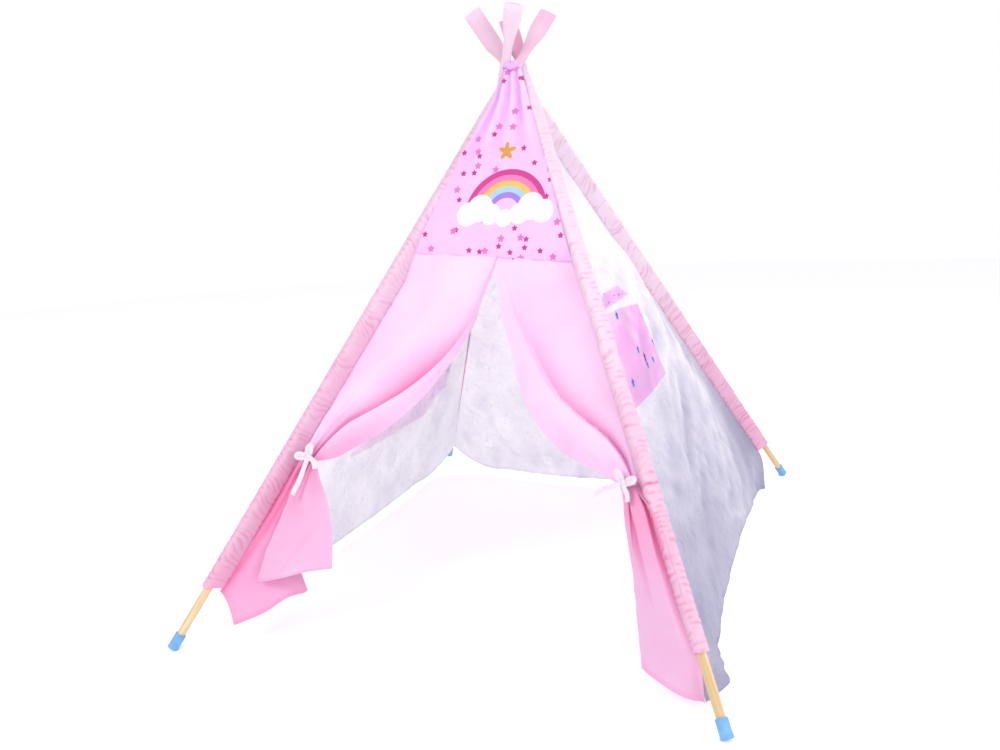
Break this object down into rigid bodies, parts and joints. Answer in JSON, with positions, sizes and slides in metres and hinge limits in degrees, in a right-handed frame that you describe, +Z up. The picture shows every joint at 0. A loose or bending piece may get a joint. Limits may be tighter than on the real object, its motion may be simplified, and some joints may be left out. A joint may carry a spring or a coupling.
{
  "type": "kids teepee",
  "caption": "Child's play teepee: sectional wooden poles in fabric sleeves crossing at the top, plain fabric walls, a printed front panel and a tied-back curtain doorway.",
  "frame": {"origin": "on the floor, at the middle of the footprint, under the crossing of the poles", "axes": "-Y towards the doorway, +Z up, +X to the right of someone facing the doorway from outside"},
  "size_m": [1.2232, 1.522, 1.3814],
  "materials": {
    "pole_pine": "planed pine, unvarnished",
    "ferrule_plastic": "clear joining tube",
    "cap_blue": "satin moulded plastic",
    "sleeve_cloth": "plain polyester, ruched",
    "curtain_cloth": "plain polyester",
    "print_cloth": "printed polyester",
    "collar_cloth": "printed polyester",
    "wall_cloth": "thin plain polyester",
    "patch_cloth": "printed polyester",
    "tie_tape": "soft ribbon"
  },
  "bodies": {
    "collar": {"collar": "collar_cloth"},
    "front_left_pole": {"front_left_pole_lower": "pole_pine", "front_left_pole_middle": "pole_pine", "front_left_pole_upper": "pole_pine", "front_left_ferrule_lower": "ferrule_plastic", "front_left_ferrule_upper": "ferrule_plastic", "front_left_foot_cap": "cap_blue", "front_left_sleeve": "sleeve_cloth", "front_print_left": "print_cloth", "left_wall_front": "wall_cloth", "left_patch_front": "patch_cloth", "left_curtain": "curtain_cloth", "left_tie": "tie_tape"},
    "front_right_pole": {"front_right_pole_lower": "pole_pine", "front_right_pole_middle": "pole_pine", "front_right_pole_upper": "pole_pine", "front_right_ferrule_lower": "ferrule_plastic", "front_right_ferrule_upper": "ferrule_plastic", "front_right_foot_cap": "cap_blue", "front_right_sleeve": "sleeve_cloth", "front_print_right": "print_cloth", "right_wall_front": "wall_cloth", "right_patch": "patch_cloth", "right_patch_flap": "patch_cloth", "right_curtain": "curtain_cloth", "right_tie": "tie_tape"},
    "back_right_pole": {"back_right_pole_lower": "pole_pine", "back_right_pole_middle": "pole_pine", "back_right_pole_upper": "pole_pine", "back_right_ferrule_lower": "ferrule_plastic", "back_right_ferrule_upper": "ferrule_plastic", "back_right_foot_cap": "cap_blue", "back_right_sleeve": "sleeve_cloth", "right_wall_back": "wall_cloth", "back_wall_right": "wall_cloth"},
    "back_left_pole": {"back_left_pole_lower": "pole_pine", "back_left_pole_middle": "pole_pine", "back_left_pole_upper": "pole_pine", "back_left_ferrule_lower": "ferrule_plastic", "back_left_ferrule_upper": "ferrule_plastic", "back_left_foot_cap": "cap_blue", "back_left_sleeve": "sleeve_cloth", "back_wall_left": "wall_cloth", "left_wall_back": "wall_cloth", "left_patch_back": "patch_cloth"},
    "left_skirt": {"left_skirt": "curtain_cloth"},
    "right_skirt": {"right_skirt": "curtain_cloth"}
  },
  "joints": [
    {"name": "front_left_fold", "type": "hinge", "parent": "collar", "child": "front_left_pole", "pos_m": [0.01658, -0.01322, 1.2546], "axis": [0.7819, -0.6234, 0], "range_deg": [0, 29], "deforming": ["collar", "front_print_left", "left_wall_front", "left_patch_front", "left_curtain"]},
    {"name": "front_right_fold", "type": "hinge", "parent": "collar", "child": "front_right_pole", "pos_m": [0.01658, 0.01322, 1.2546], "axis": [0.7819, 0.6234, 0], "range_deg": [0, 29], "deforming": ["front_print_right", "right_wall_front", "right_patch", "right_patch_flap", "right_curtain"]},
    {"name": "back_right_fold", "type": "hinge", "parent": "collar", "child": "back_right_pole", "pos_m": [-0.01658, 0.01322, 1.2546], "axis": [-0.7819, 0.6234, 0], "range_deg": [0, 29], "deforming": ["right_wall_back", "back_wall_right"]},
    {"name": "back_left_fold", "type": "hinge", "parent": "collar", "child": "back_left_pole", "pos_m": [-0.01658, -0.01322, 1.2546], "axis": [-0.7819, -0.6234, 0], "range_deg": [0, 29], "deforming": ["back_wall_left", "left_wall_back", "left_patch_back"]},
    {"name": "left_skirt_swing", "type": "hinge", "parent": "front_left_pole", "child": "left_skirt", "pos_m": [0.01658, -0.01322, 1.2546], "axis": [-0.3899, -0.4675, -0.7934], "range_deg": [0, 35], "deforming": ["left_skirt"]},
    {"name": "right_skirt_swing", "type": "hinge", "parent": "front_right_pole", "child": "right_skirt", "pos_m": [0.01658, 0.01322, 1.2546], "axis": [-0.3689, 0.4842, 0.7934], "range_deg": [0, 35], "deforming": ["right_skirt"]}
  ],
  "couplings": [
    {"joint": "front_right_fold", "follows": "front_left_fold", "ratio": 1},
    {"joint": "back_right_fold", "follows": "front_left_fold", "ratio": 1},
    {"joint": "back_left_fold", "follows": "front_left_fold", "ratio": 1}
  ]
}
